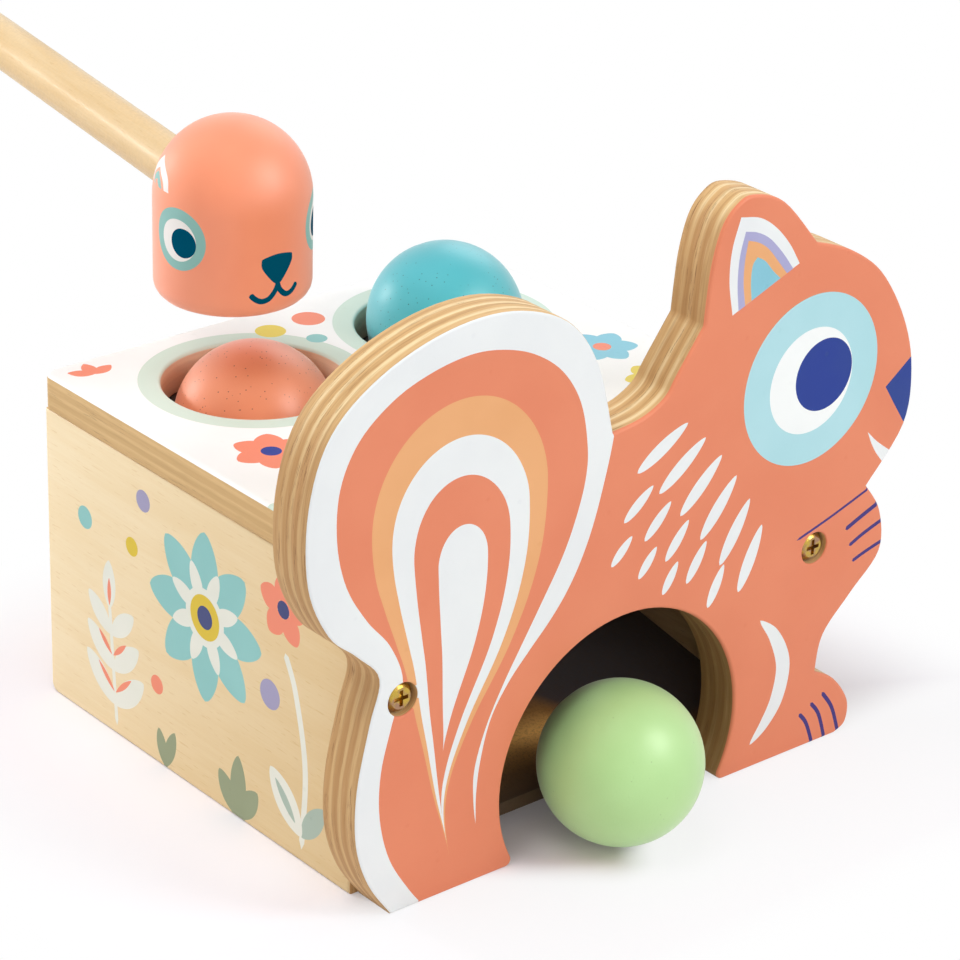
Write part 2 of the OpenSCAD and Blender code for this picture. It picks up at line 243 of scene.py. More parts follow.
def makePiece(name, points, faces, materials, slots=0, smooth=True, body="box", crease=38):
    # Points in millimetres that a face uses become a mesh in metres at the origin, which rides on its body
    corners, numbers = np.unique(np.concatenate(faces), return_inverse=True)
    ends = np.cumsum([len(face) for face in faces])
    faces = [face.tolist() for face in np.split(numbers.reshape(-1), ends[:-1])]
    mesh = bpy.data.meshes.new(name)
    mesh.from_pydata((np.asarray(points)[corners] * mm).tolist(), [], faces)
    for material in materials:
        mesh.materials.append(material)
    count = len(mesh.polygons)
    mesh.polygons.foreach_set("material_index", np.broadcast_to(slots, count).astype(np.int32))
    mesh.polygons.foreach_set("use_smooth", np.broadcast_to(smooth, count).astype(bool))
    mesh.set_sharp_from_angle(angle=math.radians(crease))
    mesh.validate()
    piece = addObject(name, mesh)
    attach(piece, body)
    return piece


boardForm = {"smallBore": 12.0, "boreEdge": 0.5, "rings": 5}  # a narrower opening is a bore with a finer edge


def edgeProfile(r, thick, bore):
    # How far out and how deep an edge's rings lie: quarter circle, wall and quarter circle, or in a stepped
    # bore quarter circle, wall, ledge and narrower hole
    turn = np.radians(np.linspace(0, 90, boardForm["rings"] + 1))[1:]
    reach, depth = r * np.sin(turn), r * (1 - np.cos(turn))
    if bore:
        wall, ledge = bore["depth"], r + bore["ledge"]
        return np.concatenate([reach, [r, ledge, ledge]]), np.concatenate([depth, [wall, wall, thick]])
    return np.concatenate([reach, reach[::-1], [0]]), np.concatenate([depth, thick - depth[::-1], [thick]])


def makeBoard(name, node, across, up, look, plyEdge, back, lining=None):
    # A board: a painted front sheet, rims carried round the edge on a rounded profile, and a back sheet;
    # a paint covers the first rings of the profile, as many as the look's wrap or else its paintTo says
    out = np.cross(across, up)
    rims, level, thick = nodeRims(node, across, up, out)
    edge, boreEdge = look["edge"], min(look["edge"], boardForm["boreEdge"])
    soft = [boreEdge if np.ptp(rim, 0).max() < boardForm["smallBore"] else edge for rim in rims]
    rims = [rim - r * outwards(rim) for rim, r in zip(rims, soft)]
    paints = [look["base"]] + [paint for paint, _ in look["shapes"]]
    used = list(dict.fromkeys(paints))
    slotOf = np.array([used.index(paint) for paint in paints])
    wrap = np.array([look.get("wrap", {}).get(paint, look["paintTo"]) for paint in used])
    materials = [paintOf[paint] for paint in used] + [plyEdge, back, lining or plyEdge]
    plySlot, backSlot, liningSlot = len(used) + np.arange(3)
    spots, tris, owner, _ = cutSheet(rims, [shape for _, shape in look["shapes"]])
    edges, edgeTri = openEdges(tris)
    paintAt = dict(zip(edges[:, 0].tolist(), slotOf[owner[edgeTri]].tolist()))
    points = [np.column_stack([spots, np.zeros(len(spots))])]
    faces, slots, lastRims, lastNumbers = [tris], [slotOf[owner]], [], []
    total = len(spots)
    for rim in rimWalk(edges):
        base = spots[rim]
        small = np.ptp(base, 0).max() < boardForm["smallBore"] + 2 * boreEdge
        reach, depth = edgeProfile(boreEdge if small else edge, thick, small and look.get("bore"))
        away = outwards(base)
        if small:  # a round bore closes on its middle
            away = (base.max(0) + base.min(0)) / 2 - base
            away /= np.linalg.norm(away, axis=1)[:, None]
        rings = base[None] + reach[:, None, None] * away[None]
        layer = np.dstack([rings, np.broadcast_to(-depth[:, None], rings.shape[:2])])
        count, n = len(reach), len(rim)
        numbers = np.vstack([rim, total + np.arange(count * n).reshape(count, n)])
        following = np.roll(numbers, -1, 1)
        quads = np.stack([numbers[:-1], numbers[1:], following[1:], following[:-1]], 2)
        paint = np.array([paintAt[i] for i in rim.tolist()])
        wood = liningSlot if signedArea(base) < 0 and not small else plySlot
        kinds = np.where(np.arange(count)[:, None] < wrap[paint][None], paint[None], wood)
        points.append(layer.reshape(-1, 3))
        faces.append(quads.reshape(-1, 4))
        slots.append(kinds.reshape(-1))
        lastRims.append(rings[-1])
        lastNumbers.append(numbers[-1])
        total += count * n
    order = np.argsort([-np.ptp(rim, 0).prod() for rim in lastRims])
    lastRims, lastNumbers = [lastRims[i] for i in order], [lastNumbers[i] for i in order]
    turned = [signedArea(rim) < 0 for rim in lastRims]
    lastNumbers = np.concatenate([n[::-1] if t else n for n, t in zip(lastNumbers, turned)])
    _, backTris, _, origins = cutSheet(lastRims, [])
    backTris = lastNumbers[np.array([ids[0] for ids in origins])][backTris][:, ::-1]
    faces.append(backTris)
    slots.append(np.full(len(backTris), backSlot))
    points = np.concatenate(points) @ np.stack([across, up, out]) + level * out
    smooth = np.concatenate([np.full(len(block), block.shape[1] == 4) for block in faces])
    faces = [face for block in faces for face in block.tolist()]
    piece = makePiece(name, points, faces, materials, np.concatenate(slots), smooth)
    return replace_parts(piece, node)


# Materials are node trees on Object coordinates, in metres
def colour(code):
    # An sRGB code as the linear colour that a socket takes
    part = np.array([int(code[i:i + 2], 16) for i in (1, 3, 5)]) / 255
    return (*np.where(part <= 0.04045, part / 12.92, ((part + 0.055) / 1.055) ** 2.4), 1.0)


def addNode(tree, kind, sockets=None, **settings):
    node = tree.nodes.new("ShaderNode" + kind)
    for key, value in settings.items():
        setattr(node, key, value)
    for key, value in (sockets or {}).items():
        if isinstance(value, bpy.types.NodeSocket):
            tree.links.new(value, node.inputs[key])
        else:
            node.inputs[key].default_value = value
    return node


def mixed(amount, a, b, blend="MIX"):
    tree = next(value.id_data for value in (amount, a, b) if isinstance(value, bpy.types.NodeSocket))
    return addNode(tree, "Mix", {0: amount, 6: a, 7: b}, data_type="RGBA", blend_type=blend).outputs[2]


def spread(value, low, high, toLow=0.0, toHigh=1.0, kind="SMOOTHSTEP"):
    sockets = {0: value, 1: low, 2: high, 3: toLow, 4: toHigh}
    return addNode(value.id_data, "MapRange", sockets, interpolation_type=kind).outputs[0]


def sums(kind, a, b=0.0):
    return addNode(a.id_data, "Math", {0: a, 1: b}, operation=kind).outputs[0]


def weighted(values, shares):
    # Two values times their shares, added
    return sums("ADD", *(sums("MULTIPLY", *pair) for pair in zip(values, shares)))


def vectors(kind, a, b=(0, 0, 0), out="Vector"):
    return addNode(a.id_data, "VectorMath", {0: a, 1: b}, operation=kind).outputs[out]


def axisOf(vector, axis):
    return addNode(vector.id_data, "SeparateXYZ", {0: vector}).outputs[axis]


def noiseAt(vector, scale, detail=3.0, rough=0.55, warp=0.0):
    sockets = {"Vector": vector, "Scale": scale, "Detail": detail, "Roughness": rough, "Distortion": warp}
    return addNode(vector.id_data, "TexNoise", sockets).outputs[0]


def stretched(vector, scale=(1, 1, 1), turn=(0, 0, 0)):
    sockets = {"Vector": vector, "Scale": scale, "Rotation": turn}
    return addNode(vector.id_data, "Mapping", sockets).outputs[0]


def ramp(value, stops):
    node = addNode(value.id_data, "ValToRGB", {0: value})
    elements = node.color_ramp.elements
    while len(elements) < len(stops):
        elements.new(0.5)
    for element, (place, code) in zip(elements, stops):
        element.position, element.color = place, colour(code)
    return node.outputs[0]


def newGroup(name, inputs, outputs):
    tree = bpy.data.node_groups.new(name, "ShaderNodeTree")
    kinds = {"Vector": "NodeSocketVector", "Color": "NodeSocketColor"}
    for side, names in (("INPUT", inputs), ("OUTPUT", outputs)):
        for label in names:
            tree.interface.new_socket(label, in_out=side, socket_type=kinds.get(label, "NodeSocketFloat"))
    return tree, tree.nodes.new("NodeGroupInput").outputs, tree.nodes.new("NodeGroupOutput").inputs


def linkAll(tree, sockets, values):
    for label, value in values.items():
        tree.links.new(value, sockets[label])
    return tree


# A noise has its stretch or scale, then detail, roughness and warp; a range is from, to, and what they become
veneer = {
    "bands": ((14, 110, 110), 4, 0.5, 0.6), "fibres": ((60, 1500, 1500), 3, 0.6),
    "pores": ((170, 1900, 1900), 1, 0.5), "shares": (0.65, 0.35), "pore": (0.66, 0.74), "dip": (0.64, 0.74),
    "tones": (0.36, 0.66), "poreTint": 0.5, "flecks": (900.0, 3, 0.7), "coat": (0.40, 0.62)}


def grainGroup():
    # Sanded veneer: wide tone bands, fine fibres and short dark pores, long in the vector's first direction
    tree, given, put = newGroup("sandedGrain", ["Vector"], ["Tone", "Pores", "Height"])
    bands, fibres, pores = (noiseAt(stretched(given["Vector"], scale), 1.0, *kind)
                            for scale, *kind in (veneer[part] for part in ("bands", "fibres", "pores")))
    dips = spread(pores, *veneer["dip"])
    return linkAll(tree, put, {"Tone": weighted((bands, fibres), veneer["shares"]),
                               "Pores": spread(pores, *veneer["pore"]),
                               "Height": sums("SUBTRACT", fibres, dips)})


plywood = {
    "waver": (40.0, 2), "streaks": (150.0, 5, 0.65), "patches": (60.0, 2), "fine": (520.0, 4, 0.65),
    "shift": (0.09, 0.035), "gapFine": (0.56, 0.66), "gapPatch": (0.48, 0.60, 0.0, 0.9), "gap": "#7C522B",
    # The first ramp is the plies' colour; the second is a paler copy of it, painted light for edges that look
    # up
    "side": [(0.0, "#C79E6B"), (0.12, "#BF9663"), (0.18, "#CEA976"), (0.23, "#CAA470"), (0.28, "#B68A57"),
             (0.41, "#BA8F5C"), (0.46, "#CFAB78"), (0.52, "#C8A26D"), (0.56, "#B28653"), (0.67, "#B88D59"),
             (0.725, "#CDA874"), (0.77, "#C7A06B"), (0.82, "#B88D59"), (1.0, "#C39B68")],
    "upper": [(0.0, "#DDB783"), (0.13, "#D8B07A"), (0.18, "#EFD7A8"), (0.225, "#EBD09F"), (0.27, "#D3AA73"),
              (0.42, "#D6AE78"), (0.46, "#EFD8AA"), (0.51, "#EACF9D"), (0.55, "#D1A770"), (0.68, "#D5AC76"),
              (0.72, "#EED5A6"), (0.77, "#E9CD9B"), (0.81, "#D4AB75"), (1.0, "#DCB681")],
    "marks": [
        ("streaks", (0.30, 0.54, 0.50, 0.0), "#9E7141"), ("streaks", (0.56, 0.80, 0.0, 0.55), "#E0C493"),
        ("fine", (0.52, 0.70, 0.0, 0.35), "#A57846"), ("patches", (0.58, 0.72, 0.0, 0.4), "#C49565")],
}


def pliesGroup():
    # Edge of plywood: tan plies with thin pale ones between, made paler where it looks up as painted light,
    # streaked along it
    tree, given, put = newGroup("plyLayers", ["Depth", "Up", "Vector"], ["Color", "Height"])
    noise = {part: noiseAt(given["Vector"], *plywood[part])
             for part in ("waver", "streaks", "patches", "fine")}
    shift = weighted((noise["waver"], noise["fine"]), plywood["shift"])
    shift = sums("SUBTRACT", shift, sum(plywood["shift"]) / 2)
    depth = sums("ADD", given["Depth"], shift)
    side, upper = ramp(depth, plywood["side"]), ramp(depth, plywood["upper"])
    # Painted light: edges that look up take the paler copy of the plies
    shade = mixed(given["Up"], side, upper)
    for part, limits, code in plywood["marks"]:
        shade = mixed(spread(noise[part], *limits), shade, colour(code))
    gapPatch = spread(noise["patches"], *plywood["gapPatch"])
    gaps = sums("MULTIPLY", spread(noise["fine"], *plywood["gapFine"]), gapPatch)
    return linkAll(tree, put, {"Color": mixed(gaps, shade, colour(plywood["gap"])),
                               "Height": sums("SUBTRACT", noise["streaks"], gaps)})


paintFilm = {"slow": (30.0, 3), "tooth": (900.0, 4, 0.6), "hole": (0.06, 0.17, 1.0, 0.0), "holeDip": 2.0,
             "holesWhere": (0.40, 0.52), "scratch": ((1500, 700, 130), (0.5, 0.3, 0)), "fibre": (1.0, 2, 0.5),
             "line": (0.66, 0.74), "linesWhere": (0.48, 0.58), "tones": (0.32, 0.68)}


def skinGroup():
    # Sprayed or printed colour: slow mottle, the fine tooth of the film, a few pinholes and short scratches
    film = paintFilm
    takes = ["Vector", "Pinholes", "Rare", "Scratches"]
    tree, given, put = newGroup("paintSkin", takes, ["Tone", "Holes", "Height"])
    slow, tooth = (noiseAt(given["Vector"], *film[part]) for part in ("slow", "tooth"))
    cells = addNode(tree, "TexVoronoi", {"Vector": given["Vector"], "Scale": given["Pinholes"]})
    near = spread(cells.outputs["Distance"], *film["hole"])
    rare = addNode(tree, "SeparateColor", {0: cells.outputs["Color"]}).outputs[0]
    holes = sums("MULTIPLY", near, sums("GREATER_THAN", rare, given["Rare"]))
    holes = sums("MULTIPLY", holes, spread(slow, *film["holesWhere"]))
    lines = noiseAt(stretched(given["Vector"], *film["scratch"]), *film["fibre"])
    linesWhere = spread(slow, *film["linesWhere"])
    lines = sums("MULTIPLY", spread(lines, *film["line"]), linesWhere)
    dips = weighted((holes, lines), (film["holeDip"], given["Scratches"]))
    return linkAll(tree, put, {"Tone": slow, "Holes": holes, "Height": sums("SUBTRACT", tooth, dips)})


grain, plies, skin = grainGroup(), pliesGroup(), skinGroup()


def newMaterial(name):
    material = bpy.data.materials.new(name)
    material.use_nodes = True
    tree = material.node_tree
    return material, tree, addNode(tree, "TexCoord").outputs["Object"]


def shaderOf(tree):
    return tree.nodes["Principled BSDF"]


def finishMaterial(material, base, gloss, height, bump, **plain):
    # Links what changes over the surface and sets what is even on the shader's own sockets; gloss is a value
    # and its range in roughness, bump a strength and a distance
    tree = material.node_tree
    sockets = shaderOf(tree).inputs
    normal = addNode(tree, "Bump", {"Strength": bump[0], "Distance": bump[1], "Height": height}).outputs[0]
    linkAll(tree, sockets, {"Base Color": base, "Roughness": spread(*gloss), "Normal": normal})
    for key, value in plain.items():
        sockets[key.replace("_", " ")].default_value = value
    return material


noiseRange = (0.3, 0.7)  # where most of a noise lies
smoother, rougher = 0.05, 0.06  # how far a finish drifts from its roughness
paintRelief, woodRelief = 0.0004, 0.0003  # depths of the bumps in metres


def paintMaterial(name, code, shade, rough=0.5, pinholes=160.0, hole=None, tooth=0.10, shine=0.3, rare=0.6,
                  scratches=0.0, **plain):
    # A colour that drifts to its shade, with pinholes, tooth and scratches in the film
    material, tree, place = newMaterial(name)
    sockets = {"Vector": place, "Pinholes": pinholes, "Rare": rare, "Scratches": scratches}
    film = addNode(tree, "Group", sockets, node_tree=skin).outputs
    base = mixed(spread(film["Tone"], *paintFilm["tones"]), colour(shade), colour(code))
    base = mixed(film["Holes"], base, colour(hole or shade))
    gloss = (film["Tone"], *noiseRange, rough - smoother, rough + rougher)
    bump = (tooth, paintRelief)
    return finishMaterial(material, base, gloss, film["Height"], bump, Specular_IOR_Level=shine, **plain)


def woodMaterial(name, codes, turn=0.0, rough=0.55, bump=0.15, drift=None, varnish=None, **plain):
    # Codes are for pale wood, dark wood and pores; turn lays the grain along the piece, a drift multiplies a
    # tint into the wood from one place to another as painted shade, and varnish is the least and the most of
    # it
    pale, dark, pore = map(colour, codes)
    material, tree, place = newMaterial(name)
    along = stretched(place, turn=(0, 0, turn))
    fibre = addNode(tree, "Group", {"Vector": along}, node_tree=grain).outputs
    base = mixed(spread(fibre["Tone"], *veneer["tones"]), dark, pale)
    base = mixed(sums("MULTIPLY", fibre["Pores"], veneer["poreTint"]), base, pore)
    # Painted shade: the tint comes in along the way from the drift's start to its end, and is full past it
    if drift:
        way = Vector(drift["to"]) - Vector(drift["from"])
        offset = vectors("SUBTRACT", place, drift["from"])
        amount = vectors("DOT_PRODUCT", offset, way / way.length_squared, "Value")
        tinted = mixed(1.0, base, colour(drift["tint"]), "MULTIPLY")
        base = mixed(spread(amount, 0.0, 1.0), base, tinted)
    if varnish:  # broken up by fine flecks
        coat = spread(noiseAt(place, *veneer["flecks"]), *veneer["coat"], *varnish)
        tree.links.new(coat, shaderOf(tree).inputs["Coat Weight"])
    gloss = (fibre["Tone"], *noiseRange, rough + rougher, rough - smoother)
    return finishMaterial(material, base, gloss, fibre["Height"], (bump, woodRelief), **plain)


plyCut = {"along": 0.22, "through": 5.5, "up": (0.2, 0.9), "gloss": (0.4, 1.2, 0.68, 0.52),
          "bump": (0.25, 0.0005)}


def plyEdgeMaterial(name, node, axis, rising=True, paintedArchShade=None, pale=None):
    # Depth runs from 0 to 1 through the board along one axis, and the streaks lie across that axis
    low, high = (corner[axis] * mm for corner in boxOf(node)[::1 if rising else -1])
    material, tree, place = newMaterial(name)
    scale = [plyCut["along"]] * 3
    scale[axis] = plyCut["through"]
    # Painted light: the height of the normal turns edges that look up to the paler plies
    facing = axisOf(addNode(tree, "TexCoord").outputs["Normal"], 2)
    sockets = {"Depth": spread(axisOf(place, axis), low, high, kind="LINEAR"),
               "Up": spread(facing, *plyCut["up"]), "Vector": stretched(place, scale)}
    layers = addNode(tree, "Group", sockets, node_tree=plies).outputs
    base = layers["Color"]
    if pale:
        code, amount = pale
        base = mixed(amount, base, colour(code))
    if paintedArchShade:  # painted shade: the cut inside the opening is tinted darker within a reach of its middle
        apart = vectors("DISTANCE", place, paintedArchShade["middle"], "Value")
        dark = mixed(1.0, base, colour(paintedArchShade["tint"]), "MULTIPLY")
        base = mixed(spread(apart, paintedArchShade["reach"], paintedArchShade["reach"] + paintedArchShade["fade"]), dark, base)
    gloss = (layers["Height"], *plyCut["gloss"])
    return finishMaterial(material, base, gloss, layers["Height"], plyCut["bump"])


paintCodes = {
    "coralFront": ("#E68A67", "#E38562"), "white": ("#ECF0F1", "#E8ECEE"), "eyeWhite": ("#F6FAF9", "#F2F6F6"),
    "tan": ("#EBAE78", "#E7A871"), "iceBlue": ("#B3DEE6", "#ACDAE2"), "inkBlue": ("#1B3890", "#1F3D8C"),
    "violetLine": ("#3A2D78", "#3E317C"), "lilac": ("#AEADD4", "#A8A7D0"),
    "turquoise": ("#88C6D9", "#83C2D4"), "topWhite": ("#F6F6F5", "#F2F2F1"), "sage": ("#CFE0D4", "#CADCCF"),
    "yellow": ("#E6D15A", "#E1CA50"), "rose": ("#EE8D72", "#EA876B"), "aqua": ("#90C6C4", "#88C0BE"),
    "navy": ("#363F72", "#394276"), "chalk": ("#E6E6DC", "#E0E1D6"), "olive": ("#959E80", "#8F9879"),
    "mauve": ("#A19CBD", "#9B96B7"), "duskGreen": ("#A9BAAE", "#A3B4A8"), "mustard": ("#DCC03A", "#D6B932"),
}
# Painted shade: the side veneer is tinted darker towards its front and its bottom
sideShadeDrift = {"from": (0, boxBack * mm, 0.09), "to": (0, (boxFront + 10) * mm, 0.0), "tint": "#E7DDCA"}
sideCodes = ("#F4E0BA", "#F0D9AF", "#E0C08A")
paintOf = {paint: paintMaterial(paint + "Paint", *codes) for paint, codes in paintCodes.items()}
paintOf["sidePly"] = woodMaterial("sideVeneer", sideCodes, quarterTurn, 0.45, 0.08, sideShadeDrift)
paintOf["rawBack"] = woodMaterial("backVeneer", ("#EAD3A4", "#DFC28B", "#B98F57"), rough=0.6)
paintOf["inside"] = woodMaterial("insideVeneer", ("#CBA67B", "#BD976C", "#8A6A45"), quarterTurn, 0.7)
print("materials ready")


tailSpine = smoothPath([(-57, 156), (-57, 122), (-55.5, 98), (-56.4, 78), (-60, 55), (-61.5, 32),
                        (-57.5, 10)], 12)


def tailDrop(width, top, tip, widest, taper, steps=60, count=110):
    # A drop down the tail's spine: quarter ellipse before the widest place, a power of a cosine after it
    heights = np.linspace(top, tip, steps)
    places = np.interp(heights, tailSpine[::-1, 1], tailSpine[::-1, 0])
    t = np.linspace(0, 1, count) ** 2  # closer steps at the round end
    path = np.stack([np.interp(t, np.linspace(0, 1, steps), way) for way in (places, heights)], 1)
    before = np.sqrt(np.clip(1 - ((widest - t) / widest) ** 2, 0, 1))
    after = np.cos(np.pi / 2 * np.clip((t - widest) / (1 - widest), 0, 1)) ** taper
    return ribbon(path, width / 2 * np.where(t < widest, before, after))


def furRow(count, length, width, a, b, c, first, last, blunt=0.62, lean=0.9):
    # Dashes on a bent line from a by b to c (a parabola), turning from the first angle to the last
    dashes = []
    for t in np.linspace(0, 1, count):
        spot = np.array(a) * (1 - t) ** 2 + 2 * np.array(b) * t * (1 - t) + np.array(c) * t ** 2
        angle = first + (last - first) * t
        dashes.append(straightLeaf(*(spot - wayOf(angle) * length / 2), angle, length, width, blunt, lean))
    return dashes


# Places on the front panel are counted from the box's middle, across and up
front = {
    "base": "coralFront", "wrap": {"white": 3, "coralFront": 5}, "paintTo": 4, "edge": 1.0,
    "bore": {"depth": 3.6, "ledge": 2.9},
    # Painted shade: the ply edge inside the arch is tinted darker within a reach of this middle
    "arch": {"middle": ((boxMid + 4.7) * mm, (boxFront - 7.5) * mm, 0.0228), "reach": 0.047, "fade": 0.003,
             "tint": "#D0CABC"},
    "print": [
        ("white", patch, 6,  # the tail's rim, inside, then outside, then past the board's edge
         [(-66, -2), (-72, 6), (-79, 18), (-82.6, 32), (-82.5, 46), (-79, 60), (-75.5, 72), (-80, 84),
          (-88, 94), (-95, 106), (-98.3, 120), (-97.5, 135), (-91.5, 147), (-80.5, 155.6), (-68, 160.2),
          (-55, 162), (-44, 160.6), (-33, 156.5), (-23, 149), (-16, 138), (-12.9, 124), (-13.2, 114),
          (-16.2, 103), (-20.6, 92.5), (-27, 81.5), (-34, 70), (-40.3, 59.5), (-46, 48), (-49.6, 36),
          (-49.6, 26), (-48.6, 18.5)],
         [(-48.6, 18.5), (-48.7, 28), (-47.6, 38), (-44.4, 50), (-38.5, 59.5), (-31, 67.5), (-24, 74.5),
          (-18, 82), (-13, 91), (-9, 101.5), (-5.2, 116), (-3.2, 126)],
         ((-3.2, 195), (-130, 195), (-130, -6), (-66, -6))),
        ("tan", tailDrop, 60, 150, 12, 0.235, 2.1), ("white", tailDrop, 47, 139, 17, 0.215, 1.95),
        ("coralFront", tailDrop, 33, 127.5, 26, 0.20, 1.75), ("white", tailDrop, 17, 113, 46, 0.16, 1.4),
        ("iceBlue", disc, 71.4, 122.0, 26.2, 96), ("eyeWhite", disc, 71.4, 121.6, 16.2, 96),
        ("inkBlue", disc, 76.3, 122.3, 11.1, 96),
        ("white", patch, 6, [(38.6, 149.8), (36.7, 160), (37, 169.5), (39.7, 178.6)],  # the ear
         [(39.7, 178.6), (47, 176.8), (53.3, 172.6), (59, 166.4), (63.4, 159.5)]),
        ("lilac", patch, 6, [(40.8, 150.6), (39.8, 159), (40.1, 167), (41.8, 173.9)],
         [(41.8, 173.9), (46.4, 172.6), (51.4, 169.6), (56.6, 164.2), (61, 158.5)]),
        ("tan", patch, 6, [(43.2, 151.6), (42.1, 158.5), (42.1, 165), (43, 171)],
         [(43, 171), (47, 169.5), (51, 166.7), (55.4, 161.6), (58.7, 157.6)]),
        ("turquoise", patch, 6, [(45.6, 152.5), (44.9, 158), (45.2, 163), (46.9, 165.2)],
         [(46.9, 165.2), (50, 163.3), (53.2, 159.7), (56.3, 156.7)]),
        ("inkBlue", patch, 1,  # the nose
         ((102.2, 111.6), (106.4, 105), (110.9, 98.2), (118, 95), (120, 122), (112, 118.9), (107, 115.1))),
        ("white", patch, 5, [(96.2, 98.8), (99.8, 95.2), (103, 92.6), (106.2, 90.2)],  # the mouth
         ((110, 88), (106, 85)), [(103, 87.7), (100.2, 91.2), (98, 94.8)]),
        ("white", furRow, 6, 21, 4.6, (15, 116), (35, 98), (51.5, 71), 30, 68),
        ("white", furRow, 5, 13.5, 3.6, (7, 101), (22, 87), (38.5, 66), 40, 66),
        ("white", furRow, 3, 10.5, 3.2, (1.5, 88), (12, 82), (20.5, 74), 46, 60),
        ("white", leaf,
         [(57.4, 49), (63.6, 42), (67.9, 31.5), (66.4, 20.8), (61.9, 13.4), (56.4, 8)], 5.6, 0.62),
        ("violetLine", penLines, 0.12,  # the arm, then the claws
         (0.85, [(70, 71.2), (84, 75.2), (99.5, 80.3)]), (1.5, [(90, 69), (96, 71.4), (104.5, 74.6)]),
         (1.3, [(92, 63.1), (98, 65.6), (107.5, 68.6)]), (1.2, [(93.8, 57.5), (99, 59.1), (108, 61.3)]),
         (1.3, [(76.3, 11.8), (79.6, 7.4), (82.9, -1.2)]), (1.3, [(80.8, 14.1), (84.6, 8.9), (88, -1.2)]),
         (1.3, [(85.3, 16.2), (90, 9.5), (93.6, -0.6)]))],
}
front["shapes"] = drawn(front["print"], [boxMid, 0])
frontEdge = plyEdgeMaterial("frontPlyEdge", "front_panel", 1, paintedArchShade=front["arch"])
frontPanel = makeBoard("frontPanel", "front_panel", xAxis, zAxis, front, frontEdge, paintOf["rawBack"])
print("front panel ready")


# Places on the sides are counted from the front edge backwards, and up
sides = {
    "base": "sidePly", "paintTo": 3, "edge": 0.9,
    "print": [
        ("aqua", daisy, 68, 58, 8, 5, 27, 13), ("chalk", daisy, 68, 58, 8, 5, 17, 5.4, 22.5),
        ("chalk", disc, 68, 58, 9.2), ("mustard", disc, 68, 58, 7), ("navy", disc, 68, 58, 3.6),
        ("chalk", sprig, 113, 3, 40, 3, 21, 8.2, 3),
        ("rose", leaves, 1.9, 0.8, (114, 14, 42, 11), (113.4, 14, 138, 11), (115, 26, 42, 9),
         (114.4, 26, 138, 9), (116, 42, 90, 9)),
        ("rose", daisy, 31, 76, 5, 2, 11, 8, 90), ("navy", disc, 31, 76, 2.7),
        ("chalk", penStroke, [(22, 4), (20.5, 30), (25, 52), (30, 63)], 2.4, 0.06),
        ("duskGreen", leaves, 7, 0.65, (22, 8, 128, 17)), ("chalk", leaves, 10, 0.65, (22, 8, 48, 22)),
        ("duskGreen", leaves, 3, 0.7, (25, 11.2, 48, 14)), ("mauve", disc, 37, 47, 4.6),
        ("mauve", disc, 98, 83, 3.4), ("mustard", disc, 104, 66, 3), ("rose", disc, 92, 26, 3),
        ("aqua", disc, 128, 66, 3.6),
        ("olive", leaves, 7.5, 0.65, (52, 0.5, 90, 20), (52, 0.5, 52, 15), (52, 0.5, 128, 15)),
        ("olive", leaves, 5, 0.65, (88, 0.5, 74, 12), (88, 0.5, 110, 14))],
}
sidePrint = drawn(sides["print"])
for side, sign in (("left", -1), ("right", 1)):
    sides["shapes"] = [(paint, outline * [sign, 1] + [sign * boxFront, 0]) for paint, outline in sidePrint]
    node = side + "_side_panel"
    edge = plyEdgeMaterial(side + "SidePlyEdge", node, 0)
    panel = makeBoard(side + "SidePanel", node, sign * yAxis, zAxis, sides, edge, paintOf["inside"])
print("sides ready")


# Places on the top are counted from the box's middle across, and from its front backwards
top = {
    "base": "topWhite", "paintTo": 4, "edge": 1.2, "rim": ("#E9CB92", 0.34), "holes": ("#F7E3CC", 0.65),
    "ringPaint": "sage", "ringR": 34.2, "ringSteps": 120,
    "print": [
        ("yellow", disc, -9.5, 133.5, 4.7), ("rose", disc, 5.5, 134.5, 5.1), ("aqua", disc, -1.5, 121, 3.2),
        ("rose", daisy, -60, 65, 6, 2, 11.5, 8.6), ("inkBlue", disc, -60, 65, 3),
        ("turquoise", daisy, 64, 66, 6, 2, 11, 8, 30), ("rose", disc, 64, 66, 2.8),
        ("yellow", daisy, 62, 40, 5, 2, 9.5, 7.4, 18), ("inkBlue", disc, 62, 40, 2.4),
        ("sage", leaves, 6, 0.75, (-70, 30, 30, 15), (-70, 30, 90, 15), (-70, 30, 150, 15)),
        ("yellow", disc, -66, 14, 3.4),
        ("rose", leaves, 4.4, 0.75, (-70, 138, 20, 8), (-70, 138, 80, 8), (-70, 138, 140, 8)),
        ("turquoise", disc, 72, 140, 3)],
}
top["shapes"] = []
for ring in ("grip_ring_left", "grip_ring_right", "grip_ring_front"):
    middle = sum(boxOf(ring)) / 2
    top["shapes"].append((top["ringPaint"], disc(middle[0], middle[1], top["ringR"], top["ringSteps"])))
top["shapes"] += drawn(top["print"], [boxMid, boxFront])
topEdge = plyEdgeMaterial("topPlyEdge", "top_board", 2, False, pale=top["rim"])
holeEdge = plyEdgeMaterial("holePlyEdge", "top_board", 2, False, pale=top["holes"])
topBoard = makeBoard("topBoard", "top_board", xAxis, yAxis, top, topEdge, paintOf["inside"], holeEdge)

back = {"base": "rawBack", "shapes": [], "paintTo": 4, "edge": 0.5}
backEdge = plyEdgeMaterial("backPlyEdge", "back_panel", 1, False)
backPanel = makeBoard("backPanel", "back_panel", -xAxis, zAxis, back, backEdge, paintOf["inside"])
print("top and back ready")


